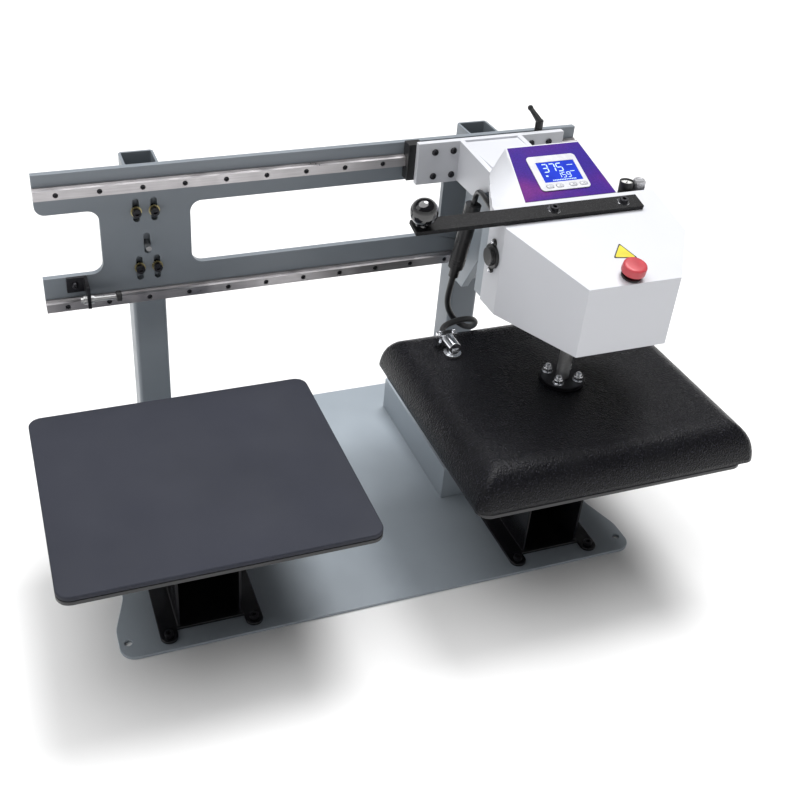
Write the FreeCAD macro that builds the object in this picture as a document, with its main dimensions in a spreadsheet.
import FreeCAD, Part
import math
import os
import re
import Sketcher

# Twin-table shuttle heat press, in millimetres.
# Origin: centre of the base plate's underside. +X to the operator's right, +Y to the rear, +Z up.
# Rest pose: the carriage stands over the right-hand table and the platen is down on its pad.

V = FreeCAD.Vector
X_AXIS = V(1, 0, 0)
Y_AXIS = V(0, 1, 0)
Z_AXIS = V(0, 0, 1)

DIMENSIONS = {
    # base plate
    "base_half": 378, "base_rear": 260, "base_front": -260, "base_thick": 5,
    "ear_half": 397, "ear_start": -205, "neck_start": -147, "neck_radius": 40, "ear_radius": 22,
    "ear_hole_pitch": 768.6, "ear_hole_front": -232, "ear_hole_radius": 5.2,
    # posts
    "post_half_pitch": 266.7, "post_side": 50.8, "post_wall": 4, "post_top": 535, "post_front": 153,
    # rail plate
    "plate_front": 143, "plate_thick": 10, "plate_half": 420, "plate_top": 536.5,
    "opening_top": 475, "opening_bottom": 375, "plate_bottom": 325,
    "notch_half": 332.5, "window_half": 201, "notch_radius": 17, "bar_radius": 14,
    "slot_half_width": 4.6, "slot_half_pitch": 13, "upper_slot_low": 451, "upper_slot_high": 487,
    "lower_slot_low": 356, "lower_slot_high": 395, "stud_slot_low": 399, "stud_slot_high": 432,
    "upper_bolt_level": 467.7, "lower_bolt_level": 377, "stud_level": 413,
    # linear rails
    "rail_size": 15, "rail_waist": 5.2, "upper_rail_level": 511, "lower_rail_level": 334,
    "rail_hole_pitch": 60, "rail_hole_count": 14, "rail_bore_radius": 2.3, "rail_sink_radius": 3.8,
    "rail_sink_depth": 5.3,
    # tables
    "table_half_pitch": 268, "table_mid": -172, "table_width": 406.4, "table_length": 355.6,
    "table_top": 233.6, "pad_thick": 8, "table_thick": 6, "table_corner": 18,
    # table stands
    "stand_half": 73, "stand_foot": 25, "stand_front": -229, "stand_toe": -251, "stand_rear": -92,
    "stand_plate": 5, "stand_wall": 4, "stand_wall_half": 46, "stand_bolt_half": 60.5,
    "stand_bolt_front": -238.5, "stand_bolt_rear": -105.5,
    # service box on the base
    "service_left": 152, "service_width": 84, "service_front": -72, "service_rear": 193,
    "service_height": 61, "sheet_thick": 1.5,
    # carriage
    "block_height": 24, "block_gap": 4.3, "block_half_width": 23.5, "block_half_length": 19.7,
    "cap_length": 11, "carriage_left": 130, "carriage_right": 112, "carriage_thick": 10,
    "carriage_low": 480,
    "carriage_high": 545, "left_arm_inner": 56, "right_arm_inner": 31, "arm_thick": 8,
    "arm_front": -6.5, "bolt_half_across": 15, "bolt_half_up": 19,
    "lower_plate_half": 45, "lower_plate_low": 302, "lower_plate_high": 368,
    "left_block_x": -88, "middle_block_x": 10, "clamp_x": 72.5, "clamp_half": 18,
    # clamp lever
    "lever_x": 78, "lever_behind": 14, "hub_radius": 6.2, "hub_height": 24, "lever_root": 21.5,
    "lever_length": 30, "lever_lean": 40, "lever_root_radius": 5, "lever_tip_radius": 3.6,
    "lever_ball_radius": 4.4, "lever_stem_radius": 3,
    # head
    "hood_rear": -120, "hood_left_bend": -163, "hood_right_bend": -206, "hood_front": -288,
    "hood_half": 122, "hood_nose_half": 66, "hood_low": 410, "hood_front_high": 509,
    "hood_slope": 0.24, "head_plate_rear": -95, "deck_thick": 12, "deck_half": 79,
    "deck_front": -245, "web_x": 38, "web_thick": 12, "head_wall_high": 481, "ear_width": 40,
    "regulator_low": 520,
    # control box
    "control_front": -114, "control_rear": -8, "control_flare": 119, "control_flare_rear": 72,
    "control_right_front": 73, "control_right_rear": 60, "control_low": 530, "control_seam": 543,
    "panel_low_half": 71, "panel_high_half": 57, "control_front_high": 545, "control_slope": 0.4,
    "control_crest": -17,
    "overlay_low": 2, "overlay_high": 102, "overlay_low_half": 69, "overlay_high_half": 55.5,
    "overlay_thick": 0.6, "bezel_half": 37.7, "bezel_low": 16, "bezel_high": 80.5,
    "bezel_thick": 1.6, "bezel_radius": 6, "screen_left": -27, "screen_right": 31.5,
    "screen_low": 31, "screen_high": 68.5, "key_level": 23.6, "key_half": 5.4, "key_radius": 3.3,
    "key_gap": 0.15,
    # press cylinder and platen
    "cylinder_radius": 48, "cylinder_bore": 40, "cylinder_high": 510, "cylinder_wall": 8,
    "spindle_radius": 9.5, "rod_gap": 0.06,
    "platen_gap": 0.3, "platen_thick": 24, "platen_inset": 4, "cover_width": 424, "cover_length": 373,
    "cover_low": 236, "cover_bend": 274, "cover_high": 288, "cover_bend_inset": 13.75,
    "cover_flat_inset": 34, "cover_thick": 1.5, "foot_radius": 32, "foot_thick": 6, "nut_offset": 16,
    # handle
    "bar_width": 25.4, "bar_thick": 6.4, "bar_left": -245, "bar_right": 84, "bar_line": -146,
    "knob_radius": 18, "knob_x": -234,
    # start button
    "button_line": -274, "button_radius": 15.7, "button_travel": 5,
    # cord clamp
    "fitting_x": -128, "fitting_y": -72, "fitting_base_radius": 13, "fitting_base_high": 5,
    "fitting_radius": 9.5, "fitting_elbow_length": 28, "fitting_mouth_half": 15,
    "fitting_screw_half": 11, "fitting_tail_radius": 8,
    # end stops
    "stop_inner": 363, "stop_level": 350, "stop_line": 114, "bumper_radius": 8,
}

doc = FreeCAD.newDocument("HeatPress")
sheet = doc.addObject("Spreadsheet::Sheet", "Dims")
for row, (alias, amount) in enumerate(DIMENSIONS.items(), start=1):
    sheet.set(f"A{row}", alias)
    sheet.set(f"B{row}", str(amount))
    sheet.setAlias(f"B{row}", alias)
doc.recompute()

ALIAS_WORD = re.compile(r"\b(" + "|".join(sorted(DIMENSIONS, key=len, reverse=True)) + r")\b")
NODES = []
CARRIAGE = "table_half_pitch"       # the carriage, head and platen are centred on this X at rest
PLATEN_LOW = "(table_top + platen_gap)"
HOOD_LEAN = "sqrt(1 + hood_slope * hood_slope)"
PANEL_LEAN = "sqrt(1 + control_slope * control_slope)"


def amount(alias):
    """One driving dimension as a plain number."""
    return float(sheet.get(alias))


def bind(obj, prop, text):
    """Tie a property to an expression over the sheet's aliases."""
    obj.setExpression(prop, ALIAS_WORD.sub(r"Dims.\1", str(text)))


def plus(first, second):
    return f"({first}) + ({second})"


def on_carriage(offset):
    return plus(CARRIAGE, offset)


def place(obj, at):
    for letter, text in zip("xyz", at):
        bind(obj, f"Placement.Base.{letter}", text)
    return obj


def node(obj, label):
    """Name an object as a node of the hand-in."""
    obj.Label = label
    NODES.append(obj)
    return obj


# ---------------------------------------------------------------- primitives and booleans

def block(name, low, size):
    box = doc.addObject("Part::Box", name)
    for prop, text in zip(("Length", "Width", "Height"), size):
        bind(box, prop, text)
    return place(box, low)


def rod(name, start, radius, length, axis="z"):
    """A cylinder from start along +axis."""
    cylinder = doc.addObject("Part::Cylinder", name)
    turns = {
        "x": FreeCAD.Rotation(Y_AXIS, 90),
        "y": FreeCAD.Rotation(X_AXIS, -90),
        "z": FreeCAD.Rotation(),
    }
    cylinder.Placement = FreeCAD.Placement(V(), turns[axis])
    bind(cylinder, "Radius", radius)
    bind(cylinder, "Height", length)
    return place(cylinder, start)


def ball(name, centre, radius):
    sphere = doc.addObject("Part::Sphere", name)
    bind(sphere, "Radius", radius)
    return place(sphere, centre)


def lean(obj, slope, origin, offset):
    """Lay an object on a slope: offset is (across, up the slope, out of the slope)."""
    size = HOOD_LEAN if slope == "hood_slope" else PANEL_LEAN
    across, along, out = offset
    obj.Placement = FreeCAD.Placement(V(), FreeCAD.Rotation(X_AXIS, 10))
    bind(obj, "Placement.Rotation.Angle", f"atan({slope})")
    place(obj, (
        plus(origin[0], across),
        f"{origin[1]} + (({along}) - ({out}) * {slope}) / {size}",
        f"{origin[2]} + (({along}) * {slope} + ({out})) / {size}",
    ))
    return obj


def joined(name, shapes):
    fuse = doc.addObject("Part::MultiFuse", name)
    fuse.Shapes = shapes
    return fuse


def cut(name, base, tools):
    result = doc.addObject("Part::Cut", name)
    result.Base = base
    result.Tool = tools[0] if len(tools) == 1 else joined(name + "_tools", tools)
    return result


def common(name, first, second):
    result = doc.addObject("Part::Common", name)
    result.Base = first
    result.Tool = second
    return result


# ---------------------------------------------------------------- sketched prisms

def origin_plane(body, role):
    return next(item for item in body.Origin.OriginFeatures if item.Role == role)


def outline(body, name, role, points, offset="0"):
    """A closed outline of straight lines, every corner tied to the sheet."""
    sketch = body.newObject("Sketcher::SketchObject", name)
    sketch.AttachmentSupport = (origin_plane(body, role), [""])
    sketch.MapMode = "FlatFace"
    bind(sketch, "AttachmentOffset.Base.z", offset)
    count = len(points)
    start = [V(100 * math.cos(2 * math.pi * i / count), 100 * math.sin(2 * math.pi * i / count), 0)
             for i in range(count)]
    for i in range(count):
        sketch.addGeometry(Part.LineSegment(start[i], start[(i + 1) % count]), False)
    for i in range(count):
        sketch.addConstraint(Sketcher.Constraint("Coincident", i, 2, (i + 1) % count, 1))
    for i, point in enumerate(points):
        for kind, text, value in zip(("DistanceX", "DistanceY"), point, (start[i].x, start[i].y)):
            index = sketch.addConstraint(Sketcher.Constraint(kind, -1, 1, i, 1, value))
            bind(sketch, f"Constraints[{index}]", text)
    return sketch


def circles(body, name, role, centres, radius, offset="0"):
    sketch = body.newObject("Sketcher::SketchObject", name)
    sketch.AttachmentSupport = (origin_plane(body, role), [""])
    sketch.MapMode = "FlatFace"
    bind(sketch, "AttachmentOffset.Base.z", offset)
    for i, centre in enumerate(centres):
        sketch.addGeometry(Part.Circle(V(10 * i + 10, 10, 0), Z_AXIS, 3), False)
        for kind, text, value in zip(("DistanceX", "DistanceY"), centre, (10 * i + 10, 10)):
            index = sketch.addConstraint(Sketcher.Constraint(kind, -1, 1, i, 3, value))
            bind(sketch, f"Constraints[{index}]", text)
        index = sketch.addConstraint(Sketcher.Constraint("Radius", i, 3))
        bind(sketch, f"Constraints[{index}]", radius)
    return sketch


def round_corners(body, sketch, corners):
    """Round the padded outline's corners: {radius: [corner numbers]}."""
    for step, (radius, numbers) in enumerate(corners.items()):
        doc.recompute()
        feature_now = body.Tip
        normal = sketch.Placement.Rotation.multVec(Z_AXIS)
        spots = [sketch.Placement.multVec(sketch.Geometry[number].StartPoint) for number in numbers]
        edges = []
        for place_in_list, edge in enumerate(feature_now.Shape.Edges, start=1):
            if not isinstance(edge.Curve, (Part.Line, Part.LineSegment)):
                continue
            first = edge.Vertexes[0].Point
            along = edge.Vertexes[-1].Point.sub(first)
            if along.Length < 1e-6 or abs(abs(along.normalize().dot(normal)) - 1) > 1e-6:
                continue
            for spot in spots:
                gap = first.sub(spot)
                if gap.sub(normal * gap.dot(normal)).Length < 1e-3:
                    edges.append(f"Edge{place_in_list}")
        fillet = body.newObject("PartDesign::Fillet", f"{body.Name}_round{step}")
        fillet.Base = (feature_now, edges)
        bind(fillet, "Radius", radius)
        body.Tip = fillet
    return body


def prism(name, role, points, length, offset="0", corners=None):
    """A Body whose outline on an origin plane is padded along the plane's normal."""
    body = doc.addObject("PartDesign::Body", name)
    sketch = outline(body, name + "_outline", role, points, offset)
    pad = body.newObject("PartDesign::Pad", name + "_pad")
    pad.Profile = sketch
    bind(pad, "Length", length)
    sketch.Visibility = False
    if corners:
        round_corners(body, sketch, corners)
    return body


def rounded_plate(name, centre, size, low, thick, radius):
    """A flat plate with four rounded corners, centred on centre in X and Y."""
    half_x, half_y = f"({size[0]}) / 2", f"({size[1]}) / 2"
    points = []
    for side_x, side_y in ((-1, -1), (1, -1), (1, 1), (-1, 1)):
        points.append((f"{centre[0]} + {side_x} * {half_x}", f"{centre[1]} + {side_y} * {half_y}"))
    return prism(name, "XY_Plane", points, thick, low, {radius: [0, 1, 2, 3]})


def mirrored_points(half):
    """Complete an outline given from its top middle down one side, by mirroring it in X."""
    other = [(f"-({x})", y) for x, y in reversed(half)]
    return half + other


def screws(name, spots, axis, head, shank, side=1):
    """Identical screws: each head stands on its spot and each shank runs the other way.

    axis is the line that the shanks lie along and side is the sign of their direction.
    head and shank are (radius, length) pairs.
    """
    pieces = []
    index = "xyz".index(axis)
    for number, spot in enumerate(spots):
        for kind, (radius, length), starts_here in (("head", head, side < 0), ("shank", shank, side > 0)):
            start = list(spot)
            if not starts_here:
                start[index] = plus(spot[index], f"-({length})")
            pieces.append(rod(f"{name}_{kind}{number}", start, radius, length, axis))
    return pieces


def group(name, pieces):
    """Several solids, or several copies of one piece, handed in as one node."""
    return node(joined(name, pieces), name)


# ---------------------------------------------------------------- frame

def make_base():
    half = [
        ("base_half", "base_rear"), ("base_half", "neck_start"), ("ear_half", "ear_start"),
        ("ear_half", "base_front"),
    ]
    body = prism("base_plate", "XY_Plane", mirrored_points(half), "base_thick", "0",
                 {"ear_radius": [3, 4], "neck_radius": [1, 2, 5, 6]})
    holes = circles(body, "ear_holes", "XY_Plane",
                    [("ear_hole_pitch / 2", "ear_hole_front"), ("-ear_hole_pitch / 2", "ear_hole_front")],
                    "ear_hole_radius")
    pocket = body.newObject("PartDesign::Pocket", "ear_hole_cut")
    pocket.Profile = holes
    pocket.Type = 1
    pocket.Midplane = True
    node(body, "base_plate")


def make_post(name, side):
    middle = f"{side} * post_half_pitch"
    centre_y = "post_front + post_side / 2"
    height = "post_top - base_thick"
    outer = rounded_plate(name + "_outer", (middle, centre_y), ("post_side", "post_side"),
                          "base_thick", height, "post_wall + 2")
    inner = rounded_plate(name + "_inner", (middle, centre_y),
                          ("post_side - 2 * post_wall", "post_side - 2 * post_wall"),
                          "base_thick - 1", height + " + 2", "2")
    holes = []
    for number, level in enumerate(("upper_bolt_level", "lower_bolt_level")):
        for step in (-1, 1):
            holes.append(rod(f"{name}_hole{number}{step + 1}",
                             (f"{middle} + {step} * slot_half_pitch", "post_front - 1", level),
                             "4.2", "post_wall + 2", "y"))
    holes.append(rod(f"{name}_stud_hole", (middle, "post_front - 1", "stud_level"),
                     "4.2", "post_wall + 2", "y"))
    return cut(name, outer, [inner] + holes)


def make_rail_plate():
    half = [
        ("plate_half", "plate_top"), ("plate_half", "opening_top"), ("notch_half", "opening_top"),
        ("notch_half", "opening_bottom"), ("plate_half", "opening_bottom"),
        ("plate_half", "plate_bottom"),
    ]
    depth = "-(plate_front + plate_thick)"
    plate = prism("rail_plate_blank", "XZ_Plane", mirrored_points(half), "plate_thick", depth,
                  {"notch_radius": [2, 3, 8, 9], "bar_radius": [1, 10]})
    window_points = [
        ("-window_half", "opening_bottom"), ("window_half", "opening_bottom"),
        ("window_half", "opening_top"), ("-window_half", "opening_top"),
    ]
    window = prism("rail_plate_window", "XZ_Plane", window_points, "plate_thick + 4",
                   depth + " - 2", {"notch_radius": [0, 1, 2, 3]})
    slots = []
    start = "plate_front - 2"
    through = "plate_thick + 4"
    ranges = (("upper_slot_low", "upper_slot_high", (-1, 1)),
              ("lower_slot_low", "lower_slot_high", (-1, 1)),
              ("stud_slot_low", "stud_slot_high", (0,)))
    for side in (-1, 1):
        for low, high, steps in ranges:
            for step in steps:
                middle = f"{side} * post_half_pitch + {step} * slot_half_pitch"
                name = f"slot_{low}_{side + 1}{step + 1}"
                slots.append(block(name, (f"{middle} - slot_half_width", start,
                                          f"{low} + slot_half_width"),
                                   ("2 * slot_half_width", through,
                                    f"{high} - {low} - 2 * slot_half_width")))
                for end, sign in ((low, "+"), (high, "-")):
                    slots.append(rod(f"{name}_{end}_end",
                                     (middle, start, f"{end} {sign} slot_half_width"),
                                     "slot_half_width", through, "y"))
    node(cut("rail_plate", plate, [window] + slots), "rail_plate")


def make_plate_fasteners():
    spots = []
    stud_spots = []
    for side in (-1, 1):
        for level in ("upper_bolt_level", "lower_bolt_level"):
            for step in (-1, 1):
                spots.append((f"{side} * post_half_pitch + {step} * slot_half_pitch",
                              "plate_front - 1.6", level))
        stud_spots.append((f"{side} * post_half_pitch", "plate_front - 14", "stud_level"))
    group("rail_plate_bolts", screws("plate_bolt", spots, "y", ("6.5", "8"),
                                     ("4", "plate_thick + post_wall + 1.6")))
    washers = []
    for number, spot in enumerate(spots):
        disc = rod(f"washer_disc{number}", spot, "8.2", "1.6", "y")
        bore = rod(f"washer_bore{number}", (spot[0], "plate_front - 3", spot[2]), "4.1", "5", "y")
        washers.append(cut(f"washer{number}", disc, [bore]))
    group("rail_plate_washers", washers)
    studs = [rod(f"stud{number}", spot, "4", "plate_thick + post_wall + 14", "y")
             for number, spot in enumerate(stud_spots)]
    group("adjusting_studs", studs)


def make_rail(name, level):
    body = doc.addObject("PartDesign::Body", name)
    half = "rail_size / 2"
    face, back = "plate_front - rail_size", "plate_front"
    points = [
        (back, f"{level} + {half}"), (f"{back} - 4", f"{level} + {half}"),
        (f"{back} - 6", f"{level} + rail_waist"), (f"{back} - 9.5", f"{level} + rail_waist"),
        (f"{back} - 11", f"{level} + {half}"), (face, f"{level} + {half} - 0.6"),
        (face, f"{level} - {half} + 0.6"), (f"{back} - 11", f"{level} - {half}"),
        (f"{back} - 9.5", f"{level} - rail_waist"), (f"{back} - 6", f"{level} - rail_waist"),
        (f"{back} - 4", f"{level} - {half}"), (back, f"{level} - {half}"),
    ]
    section = outline(body, name + "_section", "YZ_Plane", points)
    pad = body.newObject("PartDesign::Pad", name + "_pad")
    pad.Profile = section
    pad.Midplane = True
    bind(pad, "Length", "2 * plate_half")
    first = "-(rail_hole_count - 1) / 2 * rail_hole_pitch"
    cuts = []
    for kind, radius, depth in (("sink", "rail_sink_radius", "rail_sink_depth"),
                                ("bore", "rail_bore_radius", "rail_size + 1")):
        ring = circles(body, f"{name}_{kind}", "XZ_Plane", [(first, level)], radius,
                       "-(plate_front - rail_size)")
        pocket = body.newObject("PartDesign::Pocket", f"{name}_{kind}_cut")
        pocket.Profile = ring
        bind(pocket, "Length", depth)
        cuts.append(pocket)
    doc.recompute()
    pattern = body.newObject("PartDesign::LinearPattern", name + "_holes")
    pattern.Originals = cuts
    pattern.Direction = (origin_plane(body, "X_Axis"), [""])
    bind(pattern, "Length", "(rail_hole_count - 1) * rail_hole_pitch")
    bind(pattern, "Occurrences", "rail_hole_count")
    body.Tip = pattern
    return body


def make_rail_screws():
    count = int(amount("rail_hole_count"))
    spots = []
    for level in ("upper_rail_level", "lower_rail_level"):
        spots += [(f"({number} - (rail_hole_count - 1) / 2) * rail_hole_pitch",
                   "plate_front - rail_size + rail_sink_depth", level) for number in range(count)]
    group("rail_screws", screws("rail_screw", spots, "y", ("3.5", "4"),
                                ("2", "rail_size - rail_sink_depth")))


def make_end_stops():
    brackets, studs, bumpers, spots = [], [], [], []
    reach = "(stop_inner - 5)"
    tip = "(table_half_pitch + lower_plate_half + 0.3)"
    for side in (-1, 1):
        tag = "left" if side < 0 else "right"

        def span(near, far):
            """Start of a span along X on this side."""
            return f"-({far})" if side < 0 else near

        foot = block(f"stop_{tag}_foot", (span("stop_inner - 5", "stop_inner + 25"),
                                          "plate_front - 5", "stop_level + 1"),
                     ("30", "5", "24"))
        leg = block(f"stop_{tag}_leg", (span("stop_inner - 5", "stop_inner"),
                                        "stop_line - 10", "stop_level - 10"),
                    ("5", "plate_front - stop_line + 10", "35"))
        relief = block(f"stop_{tag}_relief", (span("stop_inner - 6", "stop_inner + 1"),
                                              "plate_front - rail_size - 1", "stop_level - 11"),
                       ("7", "rail_size + 2", "12"))
        bore = rod(f"stop_{tag}_bore", (span("stop_inner - 6", "stop_inner + 1"),
                                        "stop_line", "stop_level"), "4.05", "7", "x")
        bolt_bore = rod(f"stop_{tag}_bolt_bore",
                        (span("stop_inner + 13", "stop_inner + 13"), "plate_front - 6",
                         "stop_level + 13"), "3.05", "8", "y")
        whole = joined(f"stop_{tag}_whole", [foot, leg])
        brackets.append(cut(f"stop_{tag}_bracket", whole, [relief, bore, bolt_bore]))
        studs.append(rod(f"stop_{tag}_rod", (span(f"{tip} + 8", "stop_inner + 9"),
                                            "stop_line", "stop_level"),
                        "4", f"stop_inner + 9 - {tip} - 8", "x"))
        for number, low in enumerate((f"{reach} - 5", "stop_inner")):
            nut = rod(f"stop_{tag}_nut{number}", (span(low, f"{low} + 5"), "stop_line", "stop_level"),
                      "6.5", "5", "x")
            hole = rod(f"stop_{tag}_nut_hole{number}",
                       (span(f"{low} - 1", f"{low} + 6"), "stop_line", "stop_level"), "4.05", "7", "x")
            studs.append(cut(f"stop_{tag}_nut_cut{number}", nut, [hole]))
        bumpers.append(rod(f"stop_{tag}_bumper", (span(tip, f"{tip} + 8"), "stop_line", "stop_level"),
                           "bumper_radius", "8", "x"))
        spots.append((span("stop_inner + 13", "stop_inner + 13"), "plate_front - 5",
                      "stop_level + 13"))
    group("stop_brackets", brackets)
    group("stop_studs", studs)
    group("stop_bumpers", bumpers)
    group("stop_bolts", screws("stop_bolt", spots, "y", ("5", "5"), ("3", "5")))


# ---------------------------------------------------------------- tables

def make_table(tag, side, kind, low, thick):
    """One flat layer of a table: its metal plate or its pad."""
    centre = (f"{side} * table_half_pitch", "table_mid")
    return rounded_plate(f"{tag}_{kind}", centre, ("table_width", "table_length"), low, thick,
                         "table_corner")


def make_stand(tag, side):
    middle = f"{side} * table_half_pitch"
    name = f"{tag}_stand"
    top = "table_top - pad_thick - table_thick"
    floor = "base_thick"
    inner = "stand_half - stand_foot"
    foot_points = []
    for x, y in (("-stand_half", "stand_rear"), ("-stand_half", "stand_toe"),
                 (f"-({inner})", "stand_toe"), (f"-({inner})", "stand_front"),
                 (inner, "stand_front"), (inner, "stand_toe"), ("stand_half", "stand_toe"),
                 ("stand_half", "stand_rear")):
        foot_points.append((plus(middle, x), y))
    foot = prism(name + "_foot", "XY_Plane", foot_points, "stand_plate", floor,
                 {"stand_foot / 2 - 0.5": [1, 2, 5, 6]})
    pieces = [foot]
    wall_low = f"{floor} + stand_plate"
    wall_height = f"{top} - ({wall_low}) - stand_plate"
    for step in (-1, 1):
        edge = "-stand_wall_half" if step < 0 else "stand_wall_half - stand_wall"
        pieces.append(block(f"{name}_wall{step + 1}", (plus(middle, edge), "stand_front + 4", wall_low),
                            ("stand_wall", "stand_rear - stand_front - 22", wall_height)))
    pieces.append(block(f"{name}_back", (plus(middle, "-stand_wall_half"), "stand_rear - 22", wall_low),
                        ("2 * stand_wall_half", "stand_wall", wall_height)))
    pieces.append(block(f"{name}_top", (plus(middle, "-stand_half + 3"), "stand_front + 4",
                                        f"{top} - stand_plate"),
                        ("2 * stand_half - 6", "stand_rear - stand_front - 8", "stand_plate")))
    bores = []
    spots = []
    for number, (x, y) in enumerate(((-1, "stand_bolt_front"), (1, "stand_bolt_front"),
                                     (-1, "stand_bolt_rear"), (1, "stand_bolt_rear"))):
        at = f"{middle} + {x} * stand_bolt_half"
        bores.append(rod(f"{name}_bore{number}", (at, y, "base_thick - 1"), "4.3", "stand_plate + 2"))
        spots.append((at, y, "base_thick + stand_plate"))
    return cut(name, joined(name + "_whole", pieces), bores), spots


def make_tables():
    plates, pads, stands, spots = [], [], [], []
    for tag, side in (("left", -1), ("right", 1)):
        plates.append(make_table(tag, side, "plate", "table_top - pad_thick - table_thick", "table_thick"))
        pads.append(make_table(tag, side, "pad", "table_top - pad_thick", "pad_thick"))
        stand, stand_spots = make_stand(tag, side)
        stands.append(stand)
        spots += stand_spots
    group("tables", plates)
    group("table_pads", pads)
    group("table_stands", stands)
    group("stand_bolts", screws("stand_bolt", spots, "z", ("6.5", "5"), ("4", "stand_plate"), side=-1))


# ---------------------------------------------------------------- service box

def make_service_box():
    width, length, height = "service_width", "service_rear - service_front", "service_height"
    outer = block("service_outer", ("service_left", "service_front", "base_thick"),
                  (width, length, height))
    inner = block("service_inner",
                  ("service_left + sheet_thick", "service_front + sheet_thick", "base_thick - 1"),
                  (f"{width} - 2 * sheet_thick", f"{length} - 2 * sheet_thick",
                   f"{height} - sheet_thick + 1"))
    inlet_hole = block("service_inlet_hole",
                       ("service_left + 20", "service_rear - 3", "base_thick + 16"),
                       ("28", "5", "21"))
    node(cut("service_box", outer, [inner, inlet_hole]), "service_box")
    flange = block("inlet_flange", ("service_left + 14", "service_rear", "base_thick + 12"),
                   ("40", "2.5", "29"))
    shell = block("inlet_shell", ("service_left + 20.2", "service_rear - 18", "base_thick + 16.2"),
                  ("27.6", "19", "20.6"))
    mouth = block("inlet_mouth", ("service_left + 23", "service_rear - 14", "base_thick + 19"),
                  ("22", "18", "15"))
    node(cut("power_inlet", joined("inlet_whole", [flange, shell]), [mouth]), "power_inlet")
    valve = [
        block("valve_body", ("service_left + 20", "service_front + 40", "base_thick"),
              ("40", "90", "28")),
        block("valve_coil", ("service_left + 26", "service_front + 60", "base_thick + 28"),
              ("28", "36", "24")),
    ]
    group("air_valve", valve)


# ---------------------------------------------------------------- carriage

def make_guide_block(name, across, level):
    """A recirculating-ball block that wraps its rail, with a black cap on each end."""
    front = "plate_front - block_height"
    depth = "block_height - block_gap"
    slot = "(rail_size / 2 + 0.3)"
    channel_start = "plate_front - rail_size - 0.3"
    steel = block(name + "_steel",
                  (on_carriage(f"{across} - block_half_length"), front, f"{level} - block_half_width"),
                  ("2 * block_half_length", depth, "2 * block_half_width"))
    channel = block(name + "_channel",
                    (on_carriage(f"{across} - block_half_length - cap_length - 1"), channel_start,
                     f"{level} - {slot}"),
                    ("2 * (block_half_length + cap_length + 1)", "rail_size + 2", f"2 * {slot}"))
    caps = []
    for step in (-1, 1):
        start = "block_half_length" if step > 0 else "-block_half_length - cap_length"
        caps.append(block(f"{name}_cap{step + 1}",
                          (on_carriage(f"{across} + {start}"), f"{front} + 0.8",
                           f"{level} - block_half_width + 1"),
                          ("cap_length", f"{depth} - 1", "2 * block_half_width - 2")))
    return cut(name, steel, [channel]), cut(name + "_caps", joined(name + "_cap_pair", caps), [channel])


def make_guides():
    blocks, black = [], []
    for number, (across, level) in enumerate((("left_block_x", "upper_rail_level"),
                                              ("middle_block_x", "upper_rail_level"),
                                              ("0", "lower_rail_level"))):
        steel, caps = make_guide_block(f"guide{number}", across, level)
        blocks.append(steel)
        black.append(caps)
    group("guide_blocks", blocks)
    wiper = block("wiper_outer", (on_carriage("left_block_x - block_half_length - cap_length - 23"),
                                  "plate_front - block_height", "carriage_low + 4"),
                  ("22.8", "block_height - block_gap - 1", "carriage_high - carriage_low - 8"))
    gap = block("wiper_gap", (on_carriage("left_block_x - 60"), "plate_front - rail_size - 0.3",
                              "upper_rail_level - rail_size / 2 - 0.3"),
                ("40", "rail_size + 2", "rail_size + 0.6"))
    group("guide_block_caps", black + [cut("rail_wiper", wiper, [gap])])
    clamp = block("clamp_outer", (on_carriage("clamp_x - clamp_half"), "plate_front - block_height",
                                  "upper_rail_level - block_half_width"),
                  ("2 * clamp_half", "block_height - block_gap", "2 * block_half_width"))
    channel = block("clamp_channel", (on_carriage("clamp_x - clamp_half - 1"),
                                      "plate_front - rail_size - 0.3",
                                      "upper_rail_level - rail_size / 2 - 0.3"),
                    ("2 * clamp_half + 2", "rail_size + 2", "rail_size + 0.6"))
    bore = rod("clamp_bore", (on_carriage("lever_x"), "plate_front - lever_behind",
                              "upper_rail_level + rail_size / 2 + 4"), "3.06", "30")
    node(cut("rail_clamp", clamp, [channel, bore]), "rail_clamp")
    lever_x, lever_y = on_carriage("lever_x"), "plate_front - lever_behind"
    lever_low = "upper_rail_level + block_half_width"
    hub = rod("lever_hub", (lever_x, lever_y, f"{lever_low} + 0.3"), "hub_radius", "hub_height")
    stem = rod("lever_stem", (lever_x, lever_y, f"{lever_low} - 8"), "lever_stem_radius", "12")
    arm = doc.addObject("Part::Cone", "lever_arm")
    arm.Placement = FreeCAD.Placement(V(), FreeCAD.Rotation(Y_AXIS, -amount("lever_lean")))
    bind(arm, "Radius1", "lever_root_radius")
    bind(arm, "Radius2", "lever_tip_radius")
    bind(arm, "Height", "lever_length")
    place(arm, (lever_x, lever_y, f"{lever_low} + lever_root"))
    tip = ball("lever_tip", (plus(lever_x, "-lever_length * sin(lever_lean * 1deg)"), lever_y,
                             f"{lever_low} + lever_root + lever_length * cos(lever_lean * 1deg)"),
               "lever_ball_radius")
    group("clamp_lever", [hub, stem, arm, tip])


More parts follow.
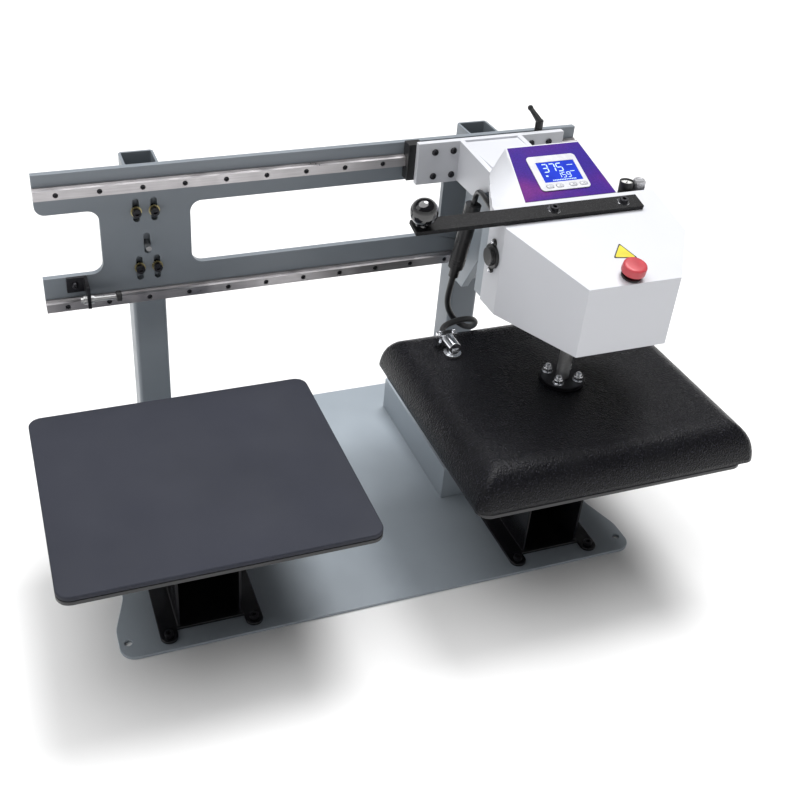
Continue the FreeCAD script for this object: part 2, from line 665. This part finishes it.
def make_carriage():
    front = "plate_front - block_height - carriage_thick"
    upper = block("carriage_blank", (on_carriage("-carriage_left"), front, "carriage_low"),
                  ("carriage_left + carriage_right", "carriage_thick", "carriage_high - carriage_low"))
    lower = block("lower_blank", (on_carriage("-lower_plate_half"), front, "lower_plate_low"),
                  ("2 * lower_plate_half", "carriage_thick", "lower_plate_high - lower_plate_low"))
    upper_spots, lower_spots = [], []
    groups = [("left_block_x", "upper_rail_level", upper_spots),
              ("middle_block_x", "upper_rail_level", upper_spots),
              ("clamp_x", "upper_rail_level", upper_spots),
              ("0", "lower_rail_level", lower_spots)]
    for across, level, spots in groups:
        for step_x in (-1, 1):
            for step_z in (-1, 1):
                spots.append((on_carriage(f"{across} + {step_x} * bolt_half_across"), front,
                              f"{level} + {step_z} * bolt_half_up"))
    upper_bores = [rod(f"upper_bore{number}", spot, "2.6", "carriage_thick + 1", "y")
                   for number, spot in enumerate(upper_spots)]
    lower_bores = [rod(f"lower_bore{number}", spot, "2.6", "carriage_thick + 1", "y")
                   for number, spot in enumerate(lower_spots)]
    node(cut("carriage_plate", upper, upper_bores), "carriage_plate")
    node(cut("lower_carriage_plate", lower, lower_bores), "lower_carriage_plate")
    group("carriage_bolts", screws("carriage_bolt", upper_spots + lower_spots, "y", ("5.2", "3.4"),
                                   ("2.5", "carriage_thick")))
    arm_points = [
        (front, "carriage_high"), ("arm_front + 8", "carriage_high - 7"),
        ("arm_front", "carriage_high - 15"), ("arm_front", "carriage_low + 35"),
        ("51", "carriage_low + 2"), (front, "carriage_low + 2"),
    ]
    arms = []
    for tag, edge in (("left", "-left_arm_inner - arm_thick"), ("right", "right_arm_inner")):
        arms.append(prism(f"arm_{tag}", "YZ_Plane", arm_points, "arm_thick", on_carriage(edge),
                          {"6": [2, 3]}))
    deck = block("arm_deck", (on_carriage("-left_arm_inner"), "arm_front + 8", "carriage_high - 9"),
                 ("left_arm_inner + right_arm_inner", f"{front} - arm_front - 8", "6"))
    group("carriage_arms", arms + [deck])


def make_head_frame():
    front = "plate_front - block_height - carriage_thick"
    plate_depth = "head_plate_rear - hood_rear"
    wall = block("head_wall", (on_carriage("-hood_half + 3"), "hood_rear", "hood_low"),
                 ("2 * hood_half - 6", plate_depth, "head_wall_high - hood_low"))
    ears = []
    for tag, edge, high in (("left", "-hood_half + 3", "control_low"),
                            ("right", "hood_half - 3 - ear_width", "regulator_low")):
        ears.append(block(f"head_ear_{tag}",
                          (on_carriage(edge), "hood_rear", "head_wall_high - 1"),
                          ("ear_width", plate_depth, f"{high} - head_wall_high + 1")))
    deck = block("head_deck", (on_carriage("-deck_half"), "deck_front", "hood_low"),
                 ("2 * deck_half", "hood_rear - deck_front + 2", "deck_thick"))
    web_points = [
        ("head_plate_rear - 1", "hood_low"), ("20", "hood_low"), ("85", "lower_plate_low + 2"),
        (front, "lower_plate_low + 2"), (front, "head_wall_high"),
        ("head_plate_rear - 1", "head_wall_high"),
    ]
    webs = []
    for side in (-1, 1):
        webs.append(prism(f"head_web{side + 1}", "YZ_Plane", web_points, "web_thick",
                          on_carriage(f"{side} * web_x - web_thick / 2")))
    bore = rod("head_rod_bore", (CARRIAGE, "table_mid", "hood_low - 1"), "spindle_radius + 3",
               "deck_thick + 2")
    node(cut("head_frame", joined("head_whole", [wall, deck] + ears + webs), [bore]), "head_frame")


# ---------------------------------------------------------------- hood

def hood_solid(name, wall, rear):
    """The hood's outer form, or its inner form when wall is the sheet's thickness."""
    plan = [
        ("-hood_half + {w}", rear), ("-hood_half + {w}", "hood_left_bend"),
        ("-hood_nose_half + {w}", "hood_front + {w}"), ("hood_nose_half - {w}", "hood_front + {w}"),
        ("hood_half - {w}", "hood_right_bend"), ("hood_half - {w}", rear),
    ]
    points = [(on_carriage(x.format(w=wall)), y.format(w=wall)) for x, y in plan]
    walls = prism(name + "_walls", "XY_Plane", points, "200", f"hood_low - ({wall})")
    rise = "hood_front_high + hood_slope * ({y} - hood_front) - ({w})"
    side = [
        ("hood_front - 10", "hood_low - 10"), ("hood_rear + 20", "hood_low - 10"),
        ("hood_rear + 20", rise.format(y="hood_rear + 20", w=wall)),
        ("hood_front - 10", rise.format(y="hood_front - 10", w=wall)),
    ]
    roof = prism(name + "_roof", "YZ_Plane", side, "2 * hood_half + 20",
                 on_carriage("-hood_half - 10"))
    return common(name, walls, roof)


def hood_origin(line, across="0"):
    """The point of the hood's top above a line of constant Y."""
    return (on_carriage(across), line, f"hood_front_high + hood_slope * ({line} - hood_front)")


def make_hood():
    outer = hood_solid("hood_outer", "0", "hood_rear")
    inner = hood_solid("hood_inner", "sheet_thick", "hood_rear + 5")
    button_bore = rod("hood_button_bore", ("0", "0", "0"), "9", "20")
    lean(button_bore, "hood_slope", hood_origin("button_line"), ("0", "0", "-10"))
    socket_bore = rod("hood_socket_bore", (on_carriage("-hood_half - 5"), "-141", "488"),
                      "13.2", "12", "x")
    node(cut("head_hood", outer, [inner, button_bore, socket_bore]), "head_hood")


def make_start_button():
    origin = hood_origin("button_line")
    slope = "hood_slope"
    ring = lean(rod("collar_ring", ("0", "0", "0"), "13", "2.5"), slope, origin, ("0", "0", "0"))
    barrel = lean(rod("collar_barrel", ("0", "0", "0"), "8.9", "22"), slope, origin,
                  ("0", "0", "-22"))
    bore = lean(rod("collar_bore", ("0", "0", "0"), "6.05", "20"), slope, origin, ("0", "0", "-16"))
    node(cut("button_collar", joined("collar_whole", [ring, barrel]), [bore]), "button_collar")
    stem = lean(rod("button_stem", ("0", "0", "0"), "6", "20"), slope, origin, ("0", "0", "-10"))
    cap = lean(rod("button_cap", ("0", "0", "0"), "button_radius", "12"), slope, origin,
               ("0", "0", "button_travel + 3"))
    group("start_button", [stem, cap])


def make_side_socket():
    face = on_carriage("-hood_half")
    disc = rod("socket_disc", (plus(face, "-4"), "-141", "488"), "17", "4", "x")
    dome = rod("socket_dome", (plus(face, "-9"), "-141", "488"), "12.5", "5", "x")
    barrel = rod("socket_barrel", (face, "-141", "488"), "13", "22", "x")
    ears = [rod(f"socket_ear{number}", (plus(face, "-2.5"), "-141", f"488 + {step}"), "5.5", "2.5", "x")
            for number, step in enumerate((-19.5, 19.5))]
    heads = [rod(f"socket_screw{number}", (plus(face, "-4.3"), "-141", f"488 + {step}"), "2.6", "1.8", "x")
             for number, step in enumerate((-20.5, 20.5))]
    group("side_socket", [disc, dome, barrel] + ears + heads)


def make_handle():
    origin = hood_origin("bar_line")
    slope = "hood_slope"
    bar = block("handle_blank", ("0", "0", "0"), ("bar_right - bar_left", "bar_width", "bar_thick"))
    lean(bar, slope, origin, ("bar_left", "-bar_width / 2", "0"))
    bores = []
    for number, (across, radius) in enumerate((("-46", "3.1"), ("58", "3.1"), ("knob_x", "5.1"))):
        bore = rod(f"handle_bore{number}", ("0", "0", "0"), radius, "bar_thick + 4")
        bores.append(lean(bore, slope, origin, (across, "0", "-2")))
    node(cut("handle_bar", bar, bores), "handle_bar")
    metal = []
    for number, across in enumerate(("-46", "58")):
        head = rod(f"handle_head{number}", ("0", "0", "0"), "5.4", "5")
        metal.append(lean(head, slope, origin, (across, "0", "bar_thick + 1.4")))
        shank = rod(f"handle_shank{number}", ("0", "0", "0"), "3", "bar_thick + 1.4")
        metal.append(lean(shank, slope, origin, (across, "0", "0")))
        disc = rod(f"handle_washer_disc{number}", ("0", "0", "0"), "7.4", "1.4")
        hole = rod(f"handle_washer_hole{number}", ("0", "0", "0"), "3.1", "4")
        lean(disc, slope, origin, (across, "0", "bar_thick"))
        lean(hole, slope, origin, (across, "0", "bar_thick - 1"))
        metal.append(cut(f"handle_washer{number}", disc, [hole]))
    sphere = ball("knob_ball", ("0", "0", "0"), "knob_radius")
    lean(sphere, slope, origin, ("knob_x", "0", "bar_thick + knob_radius + 3"))
    neck = rod("knob_neck", ("0", "0", "0"), "9", "8")
    lean(neck, slope, origin, ("knob_x", "0", "bar_thick"))
    hollow = rod("knob_hollow", ("0", "0", "0"), "5", "14")
    lean(hollow, slope, origin, ("knob_x", "0", "bar_thick - 1"))
    node(cut("handle_knob", joined("knob_whole", [sphere, neck]), [hollow]), "handle_knob")
    shank = rod("knob_bolt_shank", ("0", "0", "0"), "4.9", "bar_thick + 12")
    lean(shank, slope, origin, ("knob_x", "0", "0"))
    head = rod("knob_bolt_head", ("0", "0", "0"), "8.5", "6")
    lean(head, slope, origin, ("knob_x", "0", "-6"))
    group("handle_screws", metal + [shank, head])


# ---------------------------------------------------------------- control box

def control_form(wall):
    """The housing: a straight skirt, then walls that lean in to the sloped panel."""
    middle = amount("table_half_pitch")
    front, rear = amount("control_front"), amount("control_rear")
    outline_points = [
        (-amount("control_flare") + wall, front + wall),
        (amount("control_right_front") - wall, front + wall),
        (amount("control_right_rear") - wall, rear - wall),
        (-amount("control_flare_rear") + wall, rear - wall),
    ]
    rise = amount("control_slope") * (amount("control_crest") - front)
    panel_points = [
        (-amount("panel_low_half") + wall, front + wall, 0),
        (amount("panel_low_half") - wall, front + wall, 0),
        (amount("panel_high_half") - wall, amount("control_crest") - wall, rise),
        (-amount("panel_high_half") + wall, amount("control_crest") - wall, rise),
    ]
    panel_high = amount("control_front_high") - wall
    rings = []
    for level in (amount("control_low") - wall, amount("control_seam") - wall):
        rings.append([V(middle + x, y, level) for x, y in outline_points])
    rings.append([V(middle + x, y, panel_high + lift) for x, y, lift in panel_points])
    wires = [Part.makePolygon(ring + ring[:1]) for ring in rings]
    return Part.makeLoft(wires[:2], True, True).fuse(Part.makeLoft(wires[1:], True, True))


def panel_origin():
    return (CARRIAGE, "control_front", "control_front_high")


def panel_plate(name, points, thick, out, corners=None):
    """A flat plate laid on the sloping panel; points are (across, up the slope)."""
    body = prism(name, "XY_Plane", points, thick, "0", corners)
    return lean(body, "control_slope", panel_origin(), ("0", "0", out))


def rectangle(left, right, low, high):
    return [(left, low), (right, low), (right, high), (left, high)]


KEY_PLACES = (-23, -8, 12.5, 28.5)


def stadium(name, across, half, radius, low, thick):
    """A lozenge with round ends, on the panel."""
    origin = panel_origin()
    pieces = [block(name + "_mid", ("0", "0", "0"), (f"2 * ({half} - {radius})", f"2 * ({radius})", thick))]
    lean(pieces[0], "control_slope", origin,
         (f"{across} - ({half} - {radius})", f"key_level - ({radius})", low))
    for number, step in enumerate((-1, 1)):
        end = rod(f"{name}_end{number}", ("0", "0", "0"), radius, thick)
        pieces.append(lean(end, "control_slope", origin,
                           (f"{across} + {step} * ({half} - {radius})", "key_level", low)))
    return joined(name, pieces)


def make_control_box():
    housing = doc.addObject("Part::Feature", "control_form")
    housing.Shape = control_form(0).cut(control_form(amount("sheet_thick")))
    node(housing, "control_box")
    overlay = [("-overlay_low_half", "overlay_low"), ("overlay_low_half", "overlay_low"),
               ("overlay_high_half", "overlay_high"), ("-overlay_high_half", "overlay_high")]
    node(panel_plate("panel_overlay", overlay, "overlay_thick", "0"), "panel_overlay")
    rim = panel_plate("bezel_rim", rectangle("-bezel_half", "bezel_half", "bezel_low", "bezel_high"),
                      "bezel_thick", "overlay_thick", {"bezel_radius": [0, 1, 2, 3]})
    window = panel_plate("bezel_window",
                         rectangle("screen_left", "screen_right", "screen_low", "screen_high"),
                         "bezel_thick + 2", "overlay_thick - 1")
    holes = [stadium(f"key_hole{number}", across, "key_half + key_gap", "key_radius + key_gap",
                     "overlay_thick - 1", "bezel_thick + 2")
             for number, across in enumerate(KEY_PLACES)]
    node(cut("panel_bezel", rim, [window] + holes), "panel_bezel")
    screen = rectangle("screen_left + 0.1", "screen_right - 0.1", "screen_low + 0.1",
                       "screen_high - 0.1")
    node(panel_plate("lcd_screen", screen, "bezel_thick - 0.5", "overlay_thick"), "lcd_screen")
    for number, across in enumerate(KEY_PLACES, start=1):
        node(stadium(f"key_{number}", across, "key_half", "key_radius", "overlay_thick + 0.7",
                     "bezel_thick"), f"key_{number}")
    board = panel_plate("board_blank", rectangle("-42", "42", "12", "92"), "1.6", "-9.4")
    parts = [board]
    for number, (across, along) in enumerate(((-38, 16), (38, 16), (38, 88), (-38, 88))):
        spacer = rod(f"board_spacer{number}", ("0", "0", "0"), "2.5", "5.9")
        parts.append(lean(spacer, "control_slope", panel_origin(), (str(across), str(along), "-8")))
    for number, (across, along) in enumerate(((-30, 24), (4, 30), (20, 60))):
        chip = block(f"board_chip{number}", ("0", "0", "0"), ("15", "15", "7"))
        parts.append(lean(chip, "control_slope", panel_origin(), (str(across), str(along), "-16.2")))
    group("control_board", parts)


# ---------------------------------------------------------------- press cylinder, spindle, platen

def make_cylinder():
    low = "hood_low + deck_thick"
    outer = rod("cylinder_outer", (CARRIAGE, "table_mid", low), "cylinder_radius",
                "cylinder_high - hood_low - deck_thick")
    bore = rod("cylinder_bore_tool", (CARRIAGE, "table_mid", f"{low} + cylinder_wall"), "cylinder_bore",
               "cylinder_high")
    neck = rod("cylinder_neck_tool", (CARRIAGE, "table_mid", f"{low} - 1"),
               "spindle_radius + rod_gap", "cylinder_wall + 3")
    barrel = cut("cylinder_barrel", outer, [bore, neck])
    lid = rod("lid_disc", (CARRIAGE, "table_mid", "cylinder_high"), "cylinder_radius", "5")
    spigot = rod("lid_spigot", (CARRIAGE, "table_mid", "cylinder_high - 4"), "cylinder_bore - 0.05", "4")
    group("air_cylinder", [barrel, lid, spigot])
    piston = rod("piston_disc", (CARRIAGE, "table_mid", f"{low} + cylinder_wall + 1"),
                 "cylinder_bore - 0.05", "14")
    shaft = rod("spindle_shaft", (CARRIAGE, "table_mid", "cover_high + foot_thick"), "spindle_radius",
                f"{low} + cylinder_wall + 15 - cover_high - foot_thick")
    group("spindle", [shaft, piston])


def nut_spots(level):
    return [(on_carriage(f"{x} * nut_offset"), f"table_mid + {y} * nut_offset", level)
            for x in (-1, 1) for y in (-1, 1)]


def cover_section(inset, level, wall):
    """One level of the cover: a rectangle with rounded corners."""
    half_x = amount("cover_width") / 2 - inset - wall
    half_y = amount("cover_length") / 2 - inset - wall
    radius = max(20 - inset * 0.4 - wall, 3)
    middle = V(amount("table_half_pitch"), amount("table_mid"), level)
    edges = []
    corners = [(half_x, -half_y), (half_x, half_y), (-half_x, half_y), (-half_x, -half_y)]
    for number, (x, y) in enumerate(corners):
        next_x, next_y = corners[(number + 1) % 4]
        hub = middle + V(x - math.copysign(radius, x), y - math.copysign(radius, y), 0)
        quarter = math.pi / 2 * number - math.pi / 2
        ends = [hub + V(radius * math.cos(a), radius * math.sin(a), 0)
                for a in (quarter, quarter + math.pi / 4, quarter + math.pi / 2)]
        edges.append(Part.Arc(*ends).toShape())
        next_hub = middle + V(next_x - math.copysign(radius, next_x),
                              next_y - math.copysign(radius, next_y), 0)
        quarter_end = quarter + math.pi / 2
        far = next_hub + V(radius * math.cos(quarter_end), radius * math.sin(quarter_end), 0)
        edges.append(Part.LineSegment(ends[2], far).toShape())
    return Part.Wire(edges)


def cover_form(wall):
    """The cover's steep skirt and its softer upper band, as two stacked lofts."""
    levels = [
        (0, amount("cover_low") - wall),
        (amount("cover_bend_inset"), amount("cover_bend") - wall * 0.8),
        (amount("cover_flat_inset"), amount("cover_high") - wall),
    ]
    sections = [cover_section(inset, level, wall) for inset, level in levels]
    skirt = Part.makeLoft(sections[:2], True, True)
    band = Part.makeLoft(sections[1:], True, True)
    return skirt.fuse(band).removeSplitter()


def make_cover():
    form = cover_form(0).cut(cover_form(amount("cover_thick")))
    cover = doc.addObject("Part::Feature", "platen_cover_form")
    cover.Shape = form
    bores = [rod(f"cover_bore{number}", spot, "4.3", "20") for number, spot
             in enumerate(nut_spots("cover_high - 10"))]
    cable_hole = rod("cover_cable_bore", (on_carriage("fitting_x"), "fitting_y", "cover_high - 10"),
                     "fitting_tail_radius + 0.1", "20")
    node(cut("platen_cover", cover, bores + [cable_hole]), "platen_cover")


def make_platen():
    middle = (CARRIAGE, "table_mid")
    size = ("table_width - 2 * platen_inset", "table_length - 2 * platen_inset")
    casting = rounded_plate("platen_casting", middle, size, PLATEN_LOW, "platen_thick",
                            "table_corner")
    recess = rounded_plate("platen_recess", middle, ("table_width - 50", "table_length - 50"),
                           f"{PLATEN_LOW} + platen_thick - 10", "20", "table_corner - 6")
    boss = rounded_plate("platen_boss", middle, ("110", "110"), f"{PLATEN_LOW} + 5",
                         "platen_thick - 5", "8")
    recessed = cut("platen_recessed", casting, [recess])
    probe_bore = rod("probe_bore", (on_carriage("60"), "table_mid + 100", f"{PLATEN_LOW} + 7"),
                     "3.1", "90", "y")
    node(cut("heat_platen", joined("platen_whole", [recessed, boss]), [probe_bore]), "heat_platen")
    node(rod("temperature_probe", (on_carriage("60"), "table_mid + 110", f"{PLATEN_LOW} + 7"),
             "3", "table_length / 2 - 110 + 2", "y"), "temperature_probe")
    block_low = f"{PLATEN_LOW} + platen_thick"
    spacer = block("pressure_spacer", (on_carriage("-45"), "table_mid - 45", block_low),
                   ("90", "90", f"cover_high - cover_thick - ({block_low})"))
    spacer_bores = [rod(f"spacer_bore{number}", spot, "4.05", "25") for number, spot
                    in enumerate(nut_spots("cover_high - cover_thick - 20"))]
    node(cut("pressure_block", spacer, spacer_bores), "pressure_block")
    foot = rod("foot_disc", (CARRIAGE, "table_mid", "cover_high"), "foot_radius", "foot_thick")
    foot_bores = [rod(f"foot_bore{number}", spot, "4.05", "foot_thick + 2") for number, spot
                  in enumerate(nut_spots("cover_high - 1"))]
    node(cut("spindle_foot", foot, foot_bores), "spindle_foot")
    studs = [rod(f"foot_stud{number}", spot, "4", "foot_thick + 26") for number, spot
             in enumerate(nut_spots("cover_high - cover_thick - 12"))]
    for number, spot in enumerate(nut_spots("cover_high + foot_thick")):
        washer = rod(f"foot_washer{number}", spot, "8", "1.5")
        nut = rod(f"foot_nut{number}", (spot[0], spot[1], plus(spot[2], "1.5")), "6.5", "7")
        hole = rod(f"foot_nut_hole{number}", (spot[0], spot[1], plus(spot[2], "-1")), "4.02", "12")
        studs.append(cut(f"foot_nut_cut{number}", joined(f"foot_nut_pair{number}", [washer, nut]), [hole]))
    group("foot_studs", studs)


def make_heater():
    """A folded tubular element lying in the platen's recess, and the blanket over it."""
    radius = 4
    level = amount("table_top") + amount("platen_gap") + amount("platen_thick") - 10 + radius + 0.1
    middle = V(amount("table_half_pitch"), amount("table_mid"), level)
    half_x, near, far, bend = 150, 75, 125, 20
    route = [
        V(-half_x, -near, 0), V(half_x, -near, 0), V(half_x, -far, 0), V(-half_x - 15, -far, 0),
        V(-half_x - 15, far, 0), V(half_x, far, 0), V(half_x, near, 0), V(-half_x, near, 0),
    ]
    path = rounded_path([middle + point for point in route], [bend] * 6)
    element = doc.addObject("Part::Feature", "heating_element_form")
    element.Shape = pipe(path, radius)
    node(element, "heating_element")
    blanket = rounded_plate("blanket_outer", (CARRIAGE, "table_mid"),
                            ("table_width - 54", "table_length - 54"),
                            f"{PLATEN_LOW} + platen_thick - 1.5", "14", "10")
    gap = block("blanket_gap", (on_carriage("-57"), "table_mid - 57", f"{PLATEN_LOW} + platen_thick - 3"),
                ("114", "114", "20"))
    node(cut("insulation_blanket", blanket, [gap]), "insulation_blanket")


# ---------------------------------------------------------------- cords

def rounded_path(points, radii):
    """Straight runs joined by tangent arcs."""
    edges = []
    start = points[0]
    for number, radius in enumerate(radii, start=1):
        corner = points[number]
        back = points[number - 1].sub(corner).normalize()
        ahead = points[number + 1].sub(corner).normalize()
        half_turn = (math.pi - math.acos(max(-1, min(1, back.dot(ahead))))) / 2
        set_back = radius * math.tan(half_turn)
        first = corner + back * set_back
        last = corner + ahead * set_back
        inward = (back + ahead).normalize()
        crown = corner + inward * (radius / math.cos(half_turn) - radius)
        edges.append(Part.LineSegment(start, first).toShape())
        edges.append(Part.Arc(first, crown, last).toShape())
        start = last
    edges.append(Part.LineSegment(start, points[-1]).toShape())
    return Part.Wire(edges)


def pipe(path, radius):
    first = path.Edges[0]
    start = first.valueAt(first.FirstParameter)
    heading = first.tangentAt(first.FirstParameter)
    ring = Part.Wire([Part.makeCircle(radius, start, heading)])
    return path.makePipeShell([ring], True, False)


def cord_radii(points):
    """The largest arc that each pair of runs allows."""
    radii = []
    for before, corner, after in zip(points, points[1:], points[2:]):
        back, ahead = before.sub(corner), after.sub(corner)
        shorter = min(back.Length, ahead.Length)
        half_turn = (math.pi - back.getAngle(ahead)) / 2
        radii.append(0.45 * shorter / math.tan(half_turn))
    return radii


# The connector's own lead runs from its top into the head frame's left ear.
LEAD_ROUTE = [(-84, -95, 502), (-84, -64, 507), (-81.5, -36, 511), (-77.5, -10, 511), (-73, 11, 507)]
LEAD_RADIUS = 4

# The heater cord hangs from its connector in one small loop behind the platen and runs forward
# into the clamp on the cover. Points are relative to the carriage's centre in X.
CORD_ROUTE = [
    (-85, 38, 356), (-88, 40, 330), (-86.5, 46, 307), (-80, 50, 287), (-70, 48, 270), (-57, 40, 260),
    (-48, 28, 263), (-47, 17, 277), (-56, 8, 290), (-69, 1, 298), (-85, -5, 302.5), (-102, -10.5, 304),
    (-118, -17.5, 304), (-128, -29, 303), (-128, -41, 303),
]
CORD_RADIUS = 4.75


def make_cord():
    middle = V(amount("table_half_pitch"), 0, 0)
    points = [middle + V(*point) for point in CORD_ROUTE]
    radii = cord_radii(points)
    path = rounded_path(points, radii)
    tube = pipe(path, CORD_RADIUS)
    print("cord radii", [round(radius, 1) for radius in radii])
    print("cord length", round(path.Length, 1), "volume ratio",
          round(tube.Volume / (math.pi * CORD_RADIUS ** 2 * path.Length), 4))
    cord = doc.addObject("Part::Feature", "heater_cord_form")
    cord.Shape = tube
    node(cord, "heater_cord")
    first, second = points[0], points[1]
    heading = first.sub(second).normalize()
    turn = FreeCAD.Rotation(Z_AXIS, heading)
    for name, radius, start, length in (("connector_gland", 8, 0, 16), ("connector_barrel", 12, 16, 108)):
        piece = doc.addObject("Part::Cylinder", name)
        piece.Radius = radius
        piece.Height = length
        piece.Placement = FreeCAD.Placement(first + heading * start, turn)
    top = first + heading * 124
    lead_points = [middle + V(*point) for point in LEAD_ROUTE] + [top + heading * 18, top]
    lead_radii = cord_radii(lead_points)
    print("lead radii", [round(radius, 1) for radius in lead_radii])
    lead = doc.addObject("Part::Feature", "connector_lead_form")
    lead.Shape = pipe(rounded_path(lead_points, lead_radii), LEAD_RADIUS)
    group("cord_connector", [doc.getObject("connector_gland"), doc.getObject("connector_barrel"), lead])
    spot = (on_carriage("fitting_x"), "fitting_y")
    base = rod("fitting_base", (*spot, "cover_high"), "fitting_base_radius", "fitting_base_high")
    tail = rod("fitting_tail", (*spot, "cover_high - 12"), "fitting_tail_radius", "13")
    riser = rod("fitting_riser", (*spot, "cover_high + fitting_base_high"), "fitting_radius", "10")
    elbow = rod("fitting_elbow", (spot[0], "fitting_y - 8", "cover_high + 15"), "fitting_radius",
                "fitting_elbow_length", "y")
    mouth = block("fitting_mouth", (on_carriage("fitting_x - fitting_mouth_half"), "fitting_y + 19",
                                    "cover_high + 6"), ("2 * fitting_mouth_half", "12", "18"))
    heads = [rod(f"fitting_screw{step + 1}",
                 (on_carriage(f"fitting_x + {step} * fitting_screw_half"), "fitting_y + 25",
                  "cover_high + 24"), "2.6", "4")
             for step in (-1, 1)]
    group("cord_clamp", [base, tail, riser, elbow, mouth] + heads)


# ---------------------------------------------------------------- regulator

def make_regulator():
    low = "regulator_low"
    body = block("regulator_box", (on_carriage("80"), "hood_rear + 3", low), ("38", "22", "18"))
    knob_bore = rod("regulator_bore", (on_carriage("108"), "hood_rear + 14.5", f"{low} + 4"), "4.05", "20")
    gauge_bore = rod("gauge_bore", (on_carriage("90"), "hood_rear + 14.5", f"{low} + 8"), "4", "20")
    node(cut("air_regulator", body, [knob_bore, gauge_bore]), "air_regulator")
    stem = rod("knob_stem", (on_carriage("108"), "hood_rear + 14.5", f"{low} + 6"), "4", "13")
    grip = rod("knob_grip", (on_carriage("108"), "hood_rear + 14.5", f"{low} + 18.5"), "9.4", "20")
    group("regulator_knob", [stem, grip])
    tail = rod("gauge_tail", (on_carriage("90"), "hood_rear + 14.5", f"{low} + 8"), "4", "14")
    case = rod("gauge_case", (on_carriage("88"), "hood_rear + 14.5", f"{low} + 21"), "9.8", "17")
    dish = rod("gauge_dish", (on_carriage("88"), "hood_rear + 14.5", f"{low} + 35"), "8.6", "6")
    node(cut("pressure_gauge", joined("gauge_whole", [tail, case]), [dish]), "pressure_gauge")


def build():
    make_base()
    group("posts", [make_post("left_post", -1), make_post("right_post", 1)])
    make_rail_plate()
    make_plate_fasteners()
    group("rails", [make_rail("upper_rail", "upper_rail_level"), make_rail("lower_rail", "lower_rail_level")])
    make_rail_screws()
    make_end_stops()
    make_tables()
    make_service_box()
    make_guides()
    make_carriage()
    make_head_frame()
    make_hood()
    make_start_button()
    make_side_socket()
    make_handle()
    make_control_box()
    make_cylinder()
    make_cover()
    make_platen()
    make_heater()
    make_cord()
    make_regulator()


def check_and_write():
    doc.recompute()
    for obj in doc.Objects:
        bad = [state for state in obj.State if state in ("Invalid", "Error")]
        if bad:
            raise RuntimeError(f"{obj.Name} is {bad}")
    os.makedirs("parts", exist_ok=True)
    for old in os.listdir("parts"):
        os.remove(os.path.join("parts", old))
    for obj in NODES:
        shape = obj.Shape
        if shape.isNull() or not shape.isValid() or not shape.Solids:
            raise RuntimeError(f"{obj.Label} has no valid solid")
        shape.exportStep(f"parts/{obj.Label}.step")
        box = shape.BoundBox
        print(f"{obj.Label:26s} solids {len(shape.Solids):3d}  X {box.XMin:8.1f} {box.XMax:8.1f}"
              f"  Y {box.YMin:8.1f} {box.YMax:8.1f}  Z {box.ZMin:7.1f} {box.ZMax:7.1f}")
    print(len(NODES), "nodes")


build()
check_and_write()
